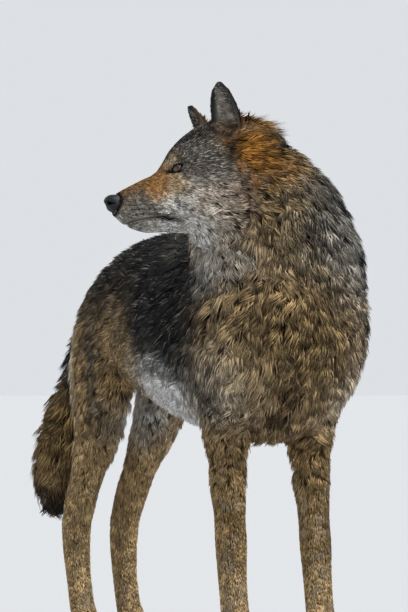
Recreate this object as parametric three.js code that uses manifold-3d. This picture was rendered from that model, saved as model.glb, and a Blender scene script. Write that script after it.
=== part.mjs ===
// A grey wolf, life size, standing with its head turned over its right shoulder.
// Millimetres, +Z up, the chest towards -Y and the animal's left side towards +X.
// Every size is measured out to the tips of the winter coat. While the animal is made, X is
// measured from the midline of its chest and Y from the middle of its back. At the end the
// origin moves to the middle of its box, at floor level.
import * as THREE from "three";
import { mergeVertices } from "three/addons/utils/BufferGeometryUtils.js";
import Module from "manifold-3d";

const wasm = await Module();
wasm.setup();

// ---- driving dimensions ----
const GAP = 0.3; // clear width of each thin cut between two pieces
const WITHERS = 750; // highest point of the back, over the shoulder blades
const SIDES = { left: 1, right: -1 }; // sign of X on each side
const FORE_X = 76; // a fore foot's distance from the midline
const HIND_X = 62; // a hind foot's distance from the middle of the pelvis
const PELVIS_X = 10; // how far the pelvis has swung to the left
const FORE_STEP = { left: -12, right: 12 }; // how far back each fore foot is set
const HIND_STEP = { left: 50, right: -6 }; // how far back each hind foot is set

const HEAD_AT = [-58, -279, 795]; // joint of skull and neck
const HEAD_TURN = 102.5; // degrees that the head is turned to the animal's right
const HEAD_ROLL = 12; // degrees that the left ear is carried above the right one
const EYE = { at: [135, 31, 12], radius: 11.5 };
const EAR = { base: [43, 52, 66], tip: [72, 84, 148], facing: [0.8, 0.6, 0], width: 56, cup: 17 };
const LIPS = { corner: [154, 0, -66], drop: 7 }; // the lips' rear end, and degrees they fall forward

const ELBOW = 385; // heights of the cuts between the lengths of a leg
const WRIST = 145;
const KNEE = 385;
const HOCK = 210;
const TOES = 80;

const rad = THREE.MathUtils.degToRad;
const vec = (x, y, z) => new THREE.Vector3(x, y, z);

// ---- shape tools ----

// Rows of [position, size, size, ...] with rising positions, as a smooth function of position.
function profile(rows) {
  const curve = new THREE.CubicInterpolant(
    rows.map((row) => row[0]),
    rows.flatMap((row) => row.slice(1)),
    rows[0].length - 1,
  );
  return (position) => Array.from(curve.evaluate(position));
}

// n + 1 even positions from the first row's to the last row's.
function positions(rows, n) {
  const [from, to] = [rows[0][0], rows.at(-1)[0]];
  return Array.from({ length: n + 1 }, (_, i) => from + ((to - from) * i) / n);
}

// A ring has a centre, its half width as a vector and its half heights up and down as two
// more. A squareness above 2 makes it boxier than an ellipse.
function ringPoint({ centre, across, up, down, square = 2 }, angle, shrink) {
  const bend = (v) => Math.sign(v) * Math.abs(v) ** (2 / square);
  const [c, s] = [bend(Math.cos(angle)), bend(Math.sin(angle))];
  return centre
    .clone()
    .addScaledVector(across, c * shrink)
    .addScaledVector(s > 0 ? up : down, Math.abs(s) * shrink);
}

// A closed skin over a row of rings, with domes that reach out by the two end vectors.
function loft(rings, sectors, startDome, endDome, domeRings = 2) {
  const circle = (ring, shift, shrink) =>
    Array.from({ length: sectors }, (_, i) =>
      ringPoint(ring, (i * 2 * Math.PI) / sectors, shrink).add(shift),
    );
  const dome = (ring, reach) =>
    Array.from({ length: domeRings }, (_, i) => {
      const lean = ((i + 1) / (domeRings + 1)) * (Math.PI / 2);
      return circle(ring, reach.clone().multiplyScalar(Math.sin(lean)), Math.cos(lean));
    });
  const [first, last] = [rings[0], rings.at(-1)];
  const loops = [
    ...dome(first, startDome).reverse(),
    ...rings.map((ring) => circle(ring, vec(0, 0, 0), 1)),
    ...dome(last, endDome),
  ];
  const points = [first.centre.clone().add(startDome), ...loops.flat()];
  points.push(last.centre.clone().add(endDome));
  const index = [];
  const at = (loop, i) => 1 + loop * sectors + (i % sectors);
  for (let i = 0; i < sectors; i++) {
    index.push(0, at(0, i + 1), at(0, i));
    index.push(points.length - 1, at(loops.length - 1, i), at(loops.length - 1, i + 1));
    for (let loop = 0; loop < loops.length - 1; loop++) {
      const [a, b] = [at(loop, i), at(loop, i + 1)];
      const [c, d] = [at(loop + 1, i + 1), at(loop + 1, i)];
      index.push(a, b, c, a, c, d);
    }
  }
  const geometry = new THREE.BufferGeometry().setFromPoints(points);
  geometry.setIndex(index);
  return geometry;
}

// A geometry as a solid, with its faces turned outwards.
function solid(geometry) {
  const bare = geometry.clone();
  bare.deleteAttribute("normal");
  bare.deleteAttribute("uv");
  const merged = mergeVertices(bare, 1e-4);
  const triVerts = new Uint32Array(merged.index.array);
  const vertProperties = merged.attributes.position.array;
  const make = () => new wasm.Manifold(new wasm.Mesh({ numProp: 3, vertProperties, triVerts }));
  const made = make();
  if (made.volume() > 0) return made;
  for (let i = 0; i < triVerts.length; i += 3)
    [triVerts[i + 1], triVerts[i + 2]] = [triVerts[i + 2], triVerts[i + 1]];
  return make();
}

const turned = (degrees) =>
  new THREE.Quaternion().setFromEuler(new THREE.Euler(...degrees.map(rad)));

// An ellipsoid, turned by Euler angles in degrees.
function ellipsoid(at, radii, turn, across, down) {
  const pose = new THREE.Matrix4().compose(vec(...at), turned(turn), vec(...radii));
  return new THREE.SphereGeometry(1, across, down).applyMatrix4(pose);
}

// A box that parts one piece from the rest, as a function of how far it is widened all round.
// hold says which point of the box is at the place given: 0 is the middle, -1 and 1 the sides.
function boxCell({ size, hold = [0, 0, 0], at, turn = [0, 0, 0], frame = new THREE.Matrix4() }) {
  return (grow) => {
    const box = new THREE.BoxGeometry(...size.map((side) => side + 2 * grow));
    box.translate(...hold.map((share, i) => (-share * size[i]) / 2));
    box.applyMatrix4(new THREE.Matrix4().compose(vec(...at), turned(turn), vec(1, 1, 1)));
    return solid(box.applyMatrix4(frame));
  };
}

// A cell on one flank: an outline of [y, z] points, seen from the side, pushed outwards from
// a distance off the midline. It leans out at the top, and the line that closes it is flat.
function flankCell({ outline, inner, lean, sign, middle }) {
  const REACH = 200;
  const curve = new THREE.SplineCurve(outline.map(([y, z]) => new THREE.Vector2(y, z)));
  return (grow) => {
    const shape = new THREE.Shape(curve.getPoints(8));
    const slab = new THREE.ExtrudeGeometry(shape, {
      depth: REACH,
      bevelSize: grow,
      bevelThickness: grow,
      bevelSegments: 1,
      bevelEnabled: grow > 0,
    });
    // The extrusion's own x, y and z become the animal's y, z and x.
    slab.applyMatrix4(new THREE.Matrix4().makeBasis(vec(0, 1, 0), vec(0, 0, 1), vec(1, 0, 0)));
    slab.translate(0, 0, -outline[0][1]);
    slab.rotateY(rad(lean)).translate(inner, 0, outline[0][1]);
    slab.scale(sign, 1, 1).translate(middle, 0, 0);
    return solid(slab);
  };
}

// ---- trunk, neck and tail ----

// [y, x, top, bottom, half width] from the chest to the buttocks
const TRUNK = [
  [-396, 0, 654, 488, 78],
  [-362, 0, 706, 430, 121],
  [-304, 0, 742, 374, 149],
  [-230, 0, WITHERS, 352, 154],
  [-120, 1, 736, 368, 147],
  [0, 4, 722, 394, 134],
  [110, 8, 714, 428, 120],
  [180, PELVIS_X, 700, 450, 108],
  [240, PELVIS_X, 674, 472, 98],
  [290, PELVIS_X, 634, 500, 82],
  [328, PELVIS_X, 590, 534, 50],
];

function trunk() {
  const [RINGS, SECTORS] = [12, 18];
  const [CHEST, BUTTOCKS] = [vec(0, -15, -6), vec(0, 14, -4)]; // how far its two ends bulge
  const shape = profile(TRUNK);
  const rings = positions(TRUNK, RINGS).map((y) => {
    const [x, top, bottom, half] = shape(y);
    return {
      centre: vec(x, y, (top + bottom) / 2),
      across: vec(half, 0, 0),
      up: vec(0, 0, (top - bottom) / 2),
      down: vec(0, 0, (bottom - top) / 2),
      square: 2.1,
    };
  });
  return loft(rings, SECTORS, CHEST, BUTTOCKS);
}

// [z, x, y, half width, half depth] up the neck, which leans to the right
const NECK = [
  [560, 4, -246, 144, 148],
  [640, 8, -256, 146, 160],
  [700, -2, -256, 141, 160],
  [750, -20, -267, 130, 144],
  [800, -38, -275, 117, 121],
  [850, -50, -278, 69, 78],
  [885, -57, -277, 32, 60],
  [903, -60, -276, 14, 46],
];

function neck() {
  const [RINGS, SECTORS] = [9, 18];
  const [BURIED, NAPE] = [vec(0, 0, -60), vec(0, 0, 8)]; // how far its two ends bulge
  const shape = profile(NECK);
  const rings = positions(NECK, RINGS).map((z) => {
    const [x, y, half, deep] = shape(z);
    return {
      centre: vec(x, y, z),
      across: vec(half, 0, 0),
      up: vec(0, deep, 0),
      down: vec(0, -deep, 0),
    };
  });
  return loft(rings, SECTORS, BURIED, NAPE, 1);
}

// [share of its length, x, y, z, radius] down the tail
const TAIL = [
  [0, 8, 262, 640, 34],
  [0.14, 6, 306, 612, 40],
  [0.28, -2, 340, 556, 42],
  [0.42, -12, 360, 496, 41],
  [0.56, -22, 376, 438, 45],
  [0.72, -33, 394, 372, 53],
  [0.88, -41, 412, 304, 52],
  [1, -45, 422, 252, 34],
];

function tail() {
  const [RINGS, SECTORS, NEARBY] = [11, 11, 0.01];
  const [BURIED, TIP] = [vec(0, -20, 4), vec(-4, 6, -38)]; // how far its two ends bulge
  const shape = profile(TAIL);
  const centreAt = (t) => vec(...shape(t).slice(0, 3));
  const rings = positions(TAIL, RINGS).map((t) => {
    const radius = shape(t)[3];
    const along = centreAt(Math.min(t + NEARBY, 1)).sub(centreAt(Math.max(t - NEARBY, 0)));
    const across = vec(1, 0, 0).projectOnPlane(along.normalize()).setLength(radius);
    const up = along.clone().cross(across);
    return { centre: centreAt(t), across, up, down: up.clone().negate() };
  });
  return loft(rings, SECTORS, BURIED, TIP);
}

// ---- legs ----

// [z, y, half depth, x, half width] up a fore leg
const FORE_LEG = [
  [26, -286, 30, FORE_X, 27],
  [70, -272, 25, FORE_X, 24],
  [120, -264, 25, FORE_X, 24],
  [160, -260, 29, FORE_X, 27],
  [205, -256, 28, FORE_X, 26],
  [265, -249, 32, FORE_X + 1, 30],
  [330, -242, 41, FORE_X + 2, 34],
  [380, -238, 51, FORE_X + 3, 40],
  [430, -252, 70, FORE_X + 8, 50],
  [500, -274, 90, FORE_X + 15, 61],
  [570, -284, 94, FORE_X + 17, 62],
  [640, -282, 74, FORE_X + 8, 54],
];

// [z, y, half depth, x, half width] up a hind leg
const HIND_LEG = [
  [26, 298, 28, HIND_X, 25],
  [70, 320, 23, HIND_X, 22],
  [120, 332, 23, HIND_X, 22],
  [165, 338, 28, HIND_X + 1, 23],
  [205, 338, 34, HIND_X + 2, 24],
  [255, 316, 36, HIND_X + 3, 27],
  [310, 282, 43, HIND_X + 5, 31],
  [370, 244, 60, HIND_X + 8, 38],
  [430, 226, 83, HIND_X + 10, 44],
  [500, 216, 96, HIND_X + 10, 46],
  [570, 206, 96, HIND_X + 2, 44],
  [625, 206, 74, HIND_X - 10, 38],
];

// How far a leg's step carries it at a height: all of it at the foot, none at the body.
const FORE_SWING = { still: 520, full: 120 };
const HIND_SWING = { still: 560, full: 320 };
const swing = (z, { still, full }) => THREE.MathUtils.smoothstep(still - z, 0, still - full);

function leg(rows, sign, middle, step, range, ringCount) {
  const SECTORS = 10;
  const [FOOT, BURIED] = [vec(0, 0, -14), vec(0, 0, 20)]; // how far its two ends bulge
  const shape = profile(rows);
  const rings = positions(rows, ringCount).map((z) => {
    const [y, deep, x, half] = shape(z);
    return {
      centre: vec(middle + sign * x, y + step * swing(z, range), z),
      across: vec(half, 0, 0),
      up: vec(0, deep, 0),
      down: vec(0, -deep, 0),
    };
  });
  return loft(rings, SECTORS, FOOT, BURIED, 1);
}

// A paw is a palm and four toes, all flat underneath at floor level. Its heel is at a place
// along Y, and the toes point forward from there.
const FORE_PAW = { length: 106, width: 90, heel: -246 };
const HIND_PAW = { length: 96, width: 78, heel: 332 };
const CLAW = { length: 21, radius: 3.6, root: 14, droop: 2, curl: 6.5, taper: 0.75 };

// A palm and a toe. Wide is a share of the paw's half width, long and ahead are shares of its
// length, and tilt is how many degrees it slopes.
const PALM = { wide: 0.82, long: 0.4, high: 28, ahead: 0.36, middle: 20, tilt: 6 };
const TOE = { wide: 0.33, long: 0.235, high: 17, middle: 13, tilt: 9 };
const TOE_ROW = { spread: 0.76, innerAhead: 0.77, outerAhead: 0.64, splay: 5 };

// Where the toes of a paw are: sideways, forward of the heel, and how far each is splayed.
function toes({ length, width }) {
  return [-1.5, -0.5, 0.5, 1.5].map((place, i) => ({
    side: (place * width * TOE_ROW.spread) / 3,
    ahead: length * (Math.abs(place) < 1 ? TOE_ROW.innerAhead : TOE_ROW.outerAhead),
    splay: place * TOE_ROW.splay,
    number: i + 1,
  }));
}

function pawSolid(paw, x, step) {
  const place = (side, ahead) => [x + side, paw.heel - ahead + step];
  const [half, long] = [paw.width / 2, paw.length];
  const radii = ({ wide, long: share, high }) => [half * wide, long * share, high];
  const palmAt = [...place(0, long * PALM.ahead), PALM.middle];
  let made = solid(ellipsoid(palmAt, radii(PALM), [PALM.tilt, 0, 0], 8, 5));
  for (const { side, ahead, splay } of toes(paw)) {
    const toeAt = [...place(side, ahead), TOE.middle];
    made = made.add(solid(ellipsoid(toeAt, radii(TOE), [TOE.tilt, 0, -splay], 6, 4)));
  }
  return made;
}

// A claw curves forward and down from inside its toe, and stays clear of the floor.
function claw(splay, grow) {
  const rings = [0, 0.5, 1].map((t) => {
    const radius = (CLAW.radius + grow) * (1 - CLAW.taper * t);
    return {
      centre: vec(0, -CLAW.length * t, CLAW.root - CLAW.droop * t - CLAW.curl * t * t),
      across: vec(radius * 0.85, 0, 0),
      up: vec(0, 0, radius * 1.25),
      down: vec(0, 0, -radius),
    };
  });
  return loft(rings, 4, vec(0, 1 + grow, 0), vec(0, -1.5 - grow, -0.8), 0).rotateZ(rad(-splay));
}

// ---- head, in its own frame: X forward, Y left, Z up, from the joint with the neck ----

// [forward, top, widest level, bottom, half width] from the nape to the lips
const HEAD = [
  [-38, 84, -8, -96, 72],
  [-10, 105, -10, -122, 90],
  [20, 113, -14, -136, 96],
  [50, 110, -20, -130, 93],
  [78, 100, -24, -116, 84],
  [104, 84, -24, -101, 71],
  [124, 69, -20, -94, 59],
  [141, 49, -18, -91, 50],
  [154, 27, -26, -90, 42],
  [168, 11, -42, -90, 36],
  [186, 3, -50, -89, 32],
  [206, -7, -52, -84, 29],
  [224, -16, -51, -75, 25],
  [238, -24, -47, -62, 19],
];

// Swellings and hollows of the face: a centre, how far it reaches and how it moves the skin.
const FACE = [
  { at: [122, 43, 36], reach: 17, push: [2, 5, 4] }, // brow
  { at: [147, 33, 12], reach: 13, push: [-5, -4, 0] }, // inner corner of the eye
  { at: [136, 47, 9], reach: 13, push: [-1, -6, 0] }, // eye socket
  { at: [112, 66, -10], reach: 24, push: [0, 5, 2] }, // cheekbone
  { at: [168, 36, -14], reach: 20, push: [0, -4, 0] }, // hollow under the eye
  { at: [205, 30, -42], reach: 20, push: [0, 2, 0] }, // upper lip
  { at: [84, 70, 62], reach: 26, push: [0, -6, 0] }, // temple
];

function faceMoved(point) {
  const moved = point.clone();
  for (const { at, reach, push } of FACE)
    for (const side of [1, -1]) {
      const far = point.distanceTo(vec(at[0], side * at[1], at[2])) / reach;
      const share = Math.exp(-far * far);
      moved.add(vec(push[0], side * push[1], push[2]).multiplyScalar(share));
    }
  return moved;
}

function skull() {
  const shape = profile(HEAD);
  const CRANIUM = [-38, -6, 26, 60];
  const MUZZLE = Array.from({ length: 13 }, (_, i) => 88 + i * 12.5); // closer rings on the face
  const rings = [...CRANIUM, ...MUZZLE].map((forward) => {
    const [top, middle, bottom, half] = shape(forward);
    return {
      centre: vec(forward, 0, middle),
      across: vec(0, half, 0),
      up: vec(0, 0, top - middle),
      down: vec(0, 0, bottom - middle),
      square: 2 + 0.25 * THREE.MathUtils.smoothstep(forward, 150, 190),
    };
  });
  const made = loft(rings, 20, vec(-16, 0, 0), vec(8, 0, -2), 1);
  const spots = made.attributes.position;
  for (let i = 0; i < spots.count; i++) {
    const moved = faceMoved(vec(spots.getX(i), spots.getY(i), spots.getZ(i)));
    spots.setXYZ(i, moved.x, moved.y, moved.z);
  }
  return made;
}

// The ear of one side: its foot, its rise to the tip, and the way that its cup faces.
function earAxes(side) {
  const flip = ([x, y, z]) => vec(x, side * y, z);
  const [base, tip] = [flip(EAR.base), flip(EAR.tip)];
  const rise = tip.sub(base);
  const facing = flip(EAR.facing).projectOnPlane(rise.clone().normalize()).normalize();
  return { base, rise, facing };
}

// An ear is a cupped leaf: loops up its length, each a crescent that is hollow in front.
function ear(side) {
  const { base, rise, facing } = earAxes(side);
  const across = facing.clone().cross(rise).normalize();
  const [ROWS, STEPS] = [6, 5];
  const ROUND = 2.6; // how long the ear stays wide before it runs in to its tip
  const TIP_WIDTH = 0.08; // share of the ear's width that is left at the tip
  const steps = Array.from({ length: STEPS + 1 }, (_, i) => -1 + (2 * i) / STEPS);
  const crescent = (t) => {
    const swell = 0.88 + 0.4 * t * (1 - t);
    const wide = Math.max(Math.sqrt(1 - t ** ROUND) * swell, TIP_WIDTH);
    const cup = EAR.cup * (1 - 0.55 * t) * wide;
    const wall = 6.5 - 2.5 * t;
    const centre = base.clone().addScaledVector(rise, t);
    const spot = (s, depth) =>
      centre
        .clone()
        .addScaledVector(across, (wide * s * EAR.width) / 2)
        .addScaledVector(facing, cup * (s * s - 0.5) - depth * (1.1 - 0.6 * s * s));
    return [
      ...steps.map((s) => spot(s, 0)),
      ...steps.map((s) => spot(-s, wall)),
    ];
  };
  const loops = Array.from({ length: ROWS + 1 }, (_, i) => crescent((i / ROWS) ** 0.8));
  const size = loops[0].length;
  const index = [];
  for (let loop = 0; loop < ROWS; loop++)
    for (let i = 0; i < size; i++) {
      const [a, b] = [loop * size + i, loop * size + ((i + 1) % size)];
      index.push(a, b, b + size, a, b + size, a + size);
    }
  // The foot and the tip are each closed by a strip from the front wall to the back one.
  for (let i = 0; i < STEPS; i++) {
    const strip = (start) => [i, i + 1, size - 2 - i, size - 1 - i].map((n) => start + n);
    const [a, b, c, d] = strip(0);
    index.push(a, c, b, a, d, c);
    const [e, f, g, h] = strip(ROWS * size);
    index.push(e, f, g, e, g, h);
  }
  const geometry = new THREE.BufferGeometry().setFromPoints(loops.flat());
  geometry.setIndex(index);
  return geometry;
}

// [forward, height of its middle, half width, half height] of the nose leather
const NOSE = [
  [226, -38, 13, 9],
  [237, -39, 17, 12.5],
  [247, -40, 16, 12],
];

function nose(grow) {
  const rings = NOSE.map(([forward, z, half, high]) => ({
    centre: vec(forward, 0, z),
    across: vec(0, half + grow, 0),
    up: vec(0, 0, high + grow),
    down: vec(0, 0, -high - 2 - grow),
    square: 2.4,
  }));
  return loft(rings, 10, vec(-3 - grow, 0, 0), vec(8 + grow, 0, -1));
}

// ---- the whole animal ----

const wolf = new THREE.Group();
const head = new THREE.Group();
head.position.set(...HEAD_AT);
head.rotation.set(rad(HEAD_ROLL), 0, rad(-90 - HEAD_TURN), "ZYX");
head.updateMatrix();
wolf.add(head);

const onHead = (geometry) => solid(geometry.clone().applyMatrix4(head.matrix));

function wholeFlesh() {
  let whole = solid(trunk()).add(solid(neck())).add(solid(tail())).add(onHead(skull()));
  for (const [name, sign] of Object.entries(SIDES)) {
    const [fore, hind] = [FORE_STEP[name], HIND_STEP[name]];
    whole = whole
      .add(onHead(ear(sign)))
      .add(solid(leg(FORE_LEG, sign, 0, fore, FORE_SWING, 12)))
      .add(solid(leg(HIND_LEG, sign, PELVIS_X, hind, HIND_SWING, 13)))
      .add(pawSolid(FORE_PAW, sign * FORE_X, fore))
      .add(pawSolid(HIND_PAW, PELVIS_X + sign * HIND_X, hind));
  }
  const belowFloor = boxCell({ size: [2000, 2000, 200], hold: [0, 0, 1], at: [0, 0, 0] });
  return whole.subtract(belowFloor(0));
}

// ---- materials ----

const material = (color, roughness) =>
  new THREE.MeshStandardMaterial({ color, roughness, metalness: 0 });
const grizzled = material(0x6b5b49, 0.85);
const ochre = material(0x9a7548, 0.85);
const dark = material(0x3b3733, 0.85);
const noseLeather = material(0x17181a, 0.4);
const amberEye = material(0x9a6a2c, 0.1);
const horn = material(0x2a2522, 0.45);

// ---- parting the flesh into its pieces ----

let flesh = wholeFlesh();

function addMesh(name, made, look, frame = wolf) {
  const mesh = made.getMesh();
  const geometry = new THREE.BufferGeometry();
  const spots = new THREE.BufferAttribute(new Float32Array(mesh.vertProperties), 3);
  geometry.setAttribute("position", spots);
  geometry.setIndex(new THREE.BufferAttribute(new Uint32Array(mesh.triVerts), 1));
  if (frame !== wolf) geometry.applyMatrix4(frame.matrix.clone().invert());
  geometry.computeVertexNormals();
  const node = new THREE.Mesh(geometry, look);
  node.name = name;
  frame.add(node);
}

// Takes the flesh inside a cell off the rest, with a thin cut between them.
function take(cell) {
  const piece = flesh.intersect(cell(0));
  flesh = flesh.subtract(cell(GAP));
  return piece;
}

function addEars() {
  const EMBEDDED = 34; // length of each ear's foot that stays with the head
  for (const [name, sign] of Object.entries(SIDES)) {
    const { base, rise } = earAxes(sign);
    const upright = new THREE.Quaternion().setFromUnitVectors(
      vec(0, 0, 1),
      rise.clone().normalize(),
    );
    const turn = new THREE.Euler().setFromQuaternion(upright);
    const cell = boxCell({
      size: [90, 90, 120],
      hold: [0, 0, -1],
      at: base.addScaledVector(rise, EMBEDDED / rise.length()).toArray(),
      turn: turn.toArray().slice(0, 3).map(THREE.MathUtils.radToDeg),
      frame: head.matrix,
    });
    addMesh(`ear_${name}`, take(cell), grizzled, head);
  }
}

function addHead() {
  const CHEEK_CUT = { at: [128, 0, -142], lean: -28.5 }; // from the throat up behind the ears
  const JAW = [110, 110, 60];
  let rest = take(
    boxCell({
      size: [300, 320, 420],
      hold: [-1, 0, -1],
      at: CHEEK_CUT.at,
      turn: [0, CHEEK_CUT.lean, 0],
      frame: head.matrix,
    }),
  );
  const jawCell = boxCell({
    size: JAW,
    hold: [-1, 0, 1],
    at: LIPS.corner,
    turn: [0, LIPS.drop, 0],
    frame: head.matrix,
  });
  addMesh("lower_jaw", rest.intersect(jawCell(0)), grizzled, head);
  rest = rest.subtract(jawCell(GAP)).subtract(onHead(nose(GAP)));
  addMesh("nose", onHead(nose(0)), noseLeather, head);
  for (const [name, sign] of Object.entries(SIDES)) {
    const at = [EYE.at[0], sign * EYE.at[1], EYE.at[2]];
    const ball = (grow) => onHead(ellipsoid(at, Array(3).fill(EYE.radius + grow), [90, 0, 0], 10, 6));
    rest = rest.subtract(ball(GAP));
    addMesh(`eye_${name}`, ball(0), amberEye, head);
  }
  addMesh("head", rest, grizzled, head);
}

function addTail() {
  const ROOT = { at: [4, 268, 690], lean: 16, length: 215 }; // where the croup turns into the tail
  const BRUSH = { at: [-29, 314, 501], lean: 10.7, length: 330 }; // the bushy length below
  const cellOf = ({ at, lean, length }, width) =>
    boxCell({ size: [width, 240, length], hold: [0, -1, 1], at, turn: [lean, 0, 0] });
  addMesh("tail_brush", take(cellOf(BRUSH, 134)), dark);
  addMesh("tail_root", take(cellOf(ROOT, 112)), grizzled);
}

// Adds a claw, and gives back what is left of the paw once the claw is bedded in it.
function bedClaw(name, paw, put) {
  addMesh(name, solid(put(0)), horn);
  return paw.subtract(solid(put(GAP)));
}

function bedToeClaws(label, piece, paw, x, step) {
  const REACH = paw.length * 0.16; // from the middle of a toe to the root of its claw
  return toes(paw).reduce((rest, { side, ahead, splay, number }) => {
    const root = [x + side, paw.heel - ahead - REACH + step, 0];
    return bedClaw(`claw_${label}_${number}`, rest, (grow) => claw(splay, grow).translate(...root));
  }, piece);
}

// The dewclaw hangs on the inner side of the fore leg, above the paw.
function bedDewclaw(label, piece, sign, step) {
  const AT = { inward: 25, y: -268, z: 58, lean: 48 };
  const root = [sign * (FORE_X - AT.inward), AT.y + step, AT.z];
  return bedClaw(`dewclaw_${label}`, piece, (grow) =>
    claw(0, grow).translate(0, 0, -CLAW.root).rotateX(rad(AT.lean)).translate(...root),
  );
}

// [y, z] points round the shoulder and upper arm, and round the thigh, seen from the side
const SHOULDER_OUTLINE = [
  [-330, ELBOW],
  [-386, 470],
  [-374, 580],
  [-285, 664],
  [-200, 606],
  [-172, 490],
  [-180, ELBOW],
];
const THIGH_OUTLINE = [
  [165, KNEE],
  [126, 470],
  [140, 570],
  [200, 632],
  [272, 604],
  [308, 520],
  [318, 450],
  [312, KNEE],
];

const BELOW_SOLES = -20; // where a paw's cell starts, clear of the floor
const FORE_INNER = { paw: 8, arm: 34 }; // how far off the midline a fore leg's cells start
const HIND_INNER = 8; // and a hind leg's

function addForeLeg(name, sign) {
  const length = (from, to, inner) =>
    boxCell({
      size: [170, 240, to - from],
      hold: [-sign, 0, -1],
      at: [sign * inner, -270, from],
    });
  const step = FORE_STEP[name];
  const whole = take(length(BELOW_SOLES, WRIST, FORE_INNER.paw));
  const clawed = bedToeClaws(`fore_${name}`, whole, FORE_PAW, sign * FORE_X, step);
  addMesh(`fore_paw_${name}`, bedDewclaw(name, clawed, sign, step), ochre);
  addMesh(`forearm_${name}`, take(length(WRIST, ELBOW, FORE_INNER.arm)), ochre);
  const upper = { outline: SHOULDER_OUTLINE, inner: FORE_INNER.arm, lean: 14, sign, middle: 0 };
  addMesh(`shoulder_${name}`, take(flankCell(upper)), grizzled);
}

function addHindLeg(name, sign) {
  const length = (from, to) =>
    boxCell({
      size: [150, 330, to - from],
      hold: [-sign, 0, -1],
      at: [PELVIS_X + sign * HIND_INNER, 300, from],
    });
  const step = HIND_STEP[name];
  const whole = take(length(BELOW_SOLES, TOES));
  const clawed = bedToeClaws(`hind_${name}`, whole, HIND_PAW, PELVIS_X + sign * HIND_X, step);
  addMesh(`hind_paw_${name}`, clawed, ochre);
  addMesh(`metatarsus_${name}`, take(length(TOES, HOCK)), ochre);
  addMesh(`shank_${name}`, take(length(HOCK, KNEE)), ochre);
  const outline = THIGH_OUTLINE.map(([y, z]) => [y + step * swing(z, HIND_SWING), z]);
  const upper = { outline, inner: HIND_INNER, lean: 16, sign, middle: PELVIS_X };
  addMesh(`thigh_${name}`, take(flankCell(upper)), ochre);
}

function addNeck() {
  const CUT = { at: [0, -295, 675], rise: 34 }; // from the breast up to the withers
  const cell = { size: [520, 520, 500], hold: [0, 0, -1], at: CUT.at, turn: [CUT.rise, 0, 0] };
  addMesh("neck", take(boxCell(cell)), grizzled);
}

addEars();
addHead();
addTail();
for (const [name, sign] of Object.entries(SIDES)) {
  addForeLeg(name, sign);
  addHindLeg(name, sign);
}
addNeck();
addMesh("trunk", flesh, grizzled);

const middle = new THREE.Box3().setFromObject(wolf, true).getCenter(vec(0, 0, 0));
wolf.position.set(-middle.x, -middle.y, 0);

export default wolf;
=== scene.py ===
"""A grey wolf in its winter coat, standing with its head turned over its right shoulder."""

import math

import bmesh
import bpy
import numpy as np
import openvdb
from mathutils import Matrix, Vector
from mathutils.bvhtree import BVHTree
from mathutils.kdtree import KDTree


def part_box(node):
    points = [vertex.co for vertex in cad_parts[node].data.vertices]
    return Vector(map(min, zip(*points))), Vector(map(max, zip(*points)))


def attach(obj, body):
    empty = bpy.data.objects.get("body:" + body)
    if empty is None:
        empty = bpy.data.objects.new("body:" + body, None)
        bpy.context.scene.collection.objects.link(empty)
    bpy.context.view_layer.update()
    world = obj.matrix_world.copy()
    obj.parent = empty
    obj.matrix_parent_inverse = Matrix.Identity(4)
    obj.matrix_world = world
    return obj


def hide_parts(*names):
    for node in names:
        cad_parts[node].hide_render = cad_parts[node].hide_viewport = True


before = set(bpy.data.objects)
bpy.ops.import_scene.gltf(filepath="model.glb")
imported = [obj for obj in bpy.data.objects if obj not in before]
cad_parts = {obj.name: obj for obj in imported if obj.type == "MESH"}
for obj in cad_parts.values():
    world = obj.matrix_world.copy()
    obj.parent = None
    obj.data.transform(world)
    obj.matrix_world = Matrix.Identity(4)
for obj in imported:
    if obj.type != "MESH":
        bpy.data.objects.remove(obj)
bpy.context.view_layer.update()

# ---- Lie of the coat ----
# A wolf's coat lies back from the nose and down towards the feet. It is a few millimetres deep
# on the face, and nearly three centimetres on the mane, where its hairs are as long as a finger.

MM = 0.001
BODY = 0
HEAD = 1
EYE_AT = np.array([135, 31, 12])  # the left eye in the head's own axes
FEET_Y = -294  # the fore feet, forward of the middle of the back
HEAD_TURN = math.radians(102.5)
HEAD_ROLL = math.radians(12)


def centre_of(*nodes):
    """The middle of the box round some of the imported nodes."""
    corners = np.array([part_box(node) for node in nodes])
    return (corners[:, 0].min(axis=0) + corners[:, 1].max(axis=0)) / 2


def unit(vectors):
    length = np.linalg.norm(vectors, axis=-1, keepdims=True)
    return vectors / np.maximum(length, 1e-9)


# Each set of axes is an origin and three rows: forward, left and up on the head, and the
# model's own X, Y and Z on the body.
feet = centre_of("fore_paw_left", "fore_paw_right")
body_axes = (np.array([feet[0], feet[1] - FEET_Y * MM, 0]), np.eye(3))
turn = Matrix.Rotation(-math.pi / 2 - HEAD_TURN, 3, "Z") @ Matrix.Rotation(HEAD_ROLL, 3, "X")
head_rows = np.array(turn).T
eyes_middle = (centre_of("eye_left") + centre_of("eye_right")) / 2
head_axes = (eyes_middle - (EYE_AT * [1, 0, 1]) @ head_rows * MM, head_rows)
AXES = {BODY: body_axes, HEAD: head_axes}


def placed(where, point):
    """A point or points in millimetres, from one set of axes to the model's metres."""
    origin, rows = AXES[where]
    return origin + np.asarray(point, float) @ rows * MM


def local(where, points):
    """The model's metres as millimetres in one set of axes."""
    origin, rows = AXES[where]
    return (points - origin) @ rows.T / MM


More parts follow.
